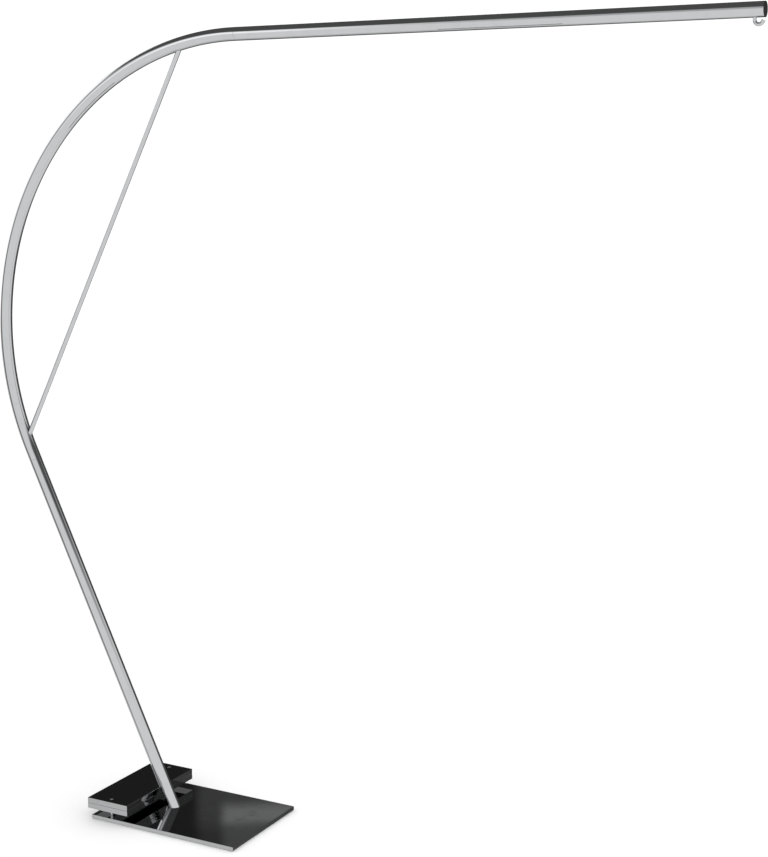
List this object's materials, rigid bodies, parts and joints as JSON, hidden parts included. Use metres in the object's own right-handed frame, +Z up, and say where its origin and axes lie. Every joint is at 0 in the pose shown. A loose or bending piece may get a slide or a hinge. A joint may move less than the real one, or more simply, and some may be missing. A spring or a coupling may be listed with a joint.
{
  "type": "cantilever hanging stand",
  "caption": "Free-standing chrome stand: ballasted base plate, leaning pole, arched tube with tie rod and level arm ending in a swivel hook.",
  "frame": {"origin": "on the floor, under the middle of the whole stand's box", "axes": "+Z up, +X from the pole towards the arm's tip, +Y across the base plate; the stand is symmetric about the X-Z plane"},
  "size_m": [2.383, 0.345, 2.3616],
  "materials": {
    "polished_chrome": "mirror-bright chrome plate on steel",
    "mirror_steel": "mirror-polished steel plate",
    "plain_steel": "plain turned steel",
    "black_plastic": "satin black",
    "black_rubber": "matt"
  },
  "bodies": {
    "stand": {"arc_tube": "polished_chrome", "arm_end_plug": "black_plastic", "arm_tube": "polished_chrome", "ballast_post_left": "polished_chrome", "ballast_post_right": "polished_chrome", "ballast_screw_left": "plain_steel", "ballast_screw_right": "plain_steel", "ballast_slab_lower": "mirror_steel", "ballast_slab_upper": "mirror_steel", "base_plate": "mirror_steel", "foot_pad_front_left": "black_rubber", "foot_pad_front_right": "black_rubber", "foot_pad_rear_left": "black_rubber", "foot_pad_rear_right": "black_rubber", "hook_carrier": "plain_steel", "hook_carrier_screw": "plain_steel", "lower_joint_screw": "plain_steel", "lower_joint_spigot": "plain_steel", "pole_bolt": "plain_steel", "pole_grub_screw": "plain_steel", "pole_spigot": "plain_steel", "pole_tube": "polished_chrome", "post_bolt_left": "plain_steel", "post_bolt_right": "plain_steel", "tie_rod": "polished_chrome", "tie_rod_stud_lower": "plain_steel", "tie_rod_stud_upper": "plain_steel", "upper_joint_screw": "plain_steel", "upper_joint_spigot": "plain_steel"},
    "hook_swivel": {"hook": "polished_chrome", "hook_nut": "plain_steel"}
  },
  "joints": [
    {"name": "hook_turn", "type": "hinge", "parent": "stand", "child": "hook_swivel", "pos_m": [1.1656, 0, 2.34255], "axis": [0, 0, 1], "continuous": true}
  ]
}
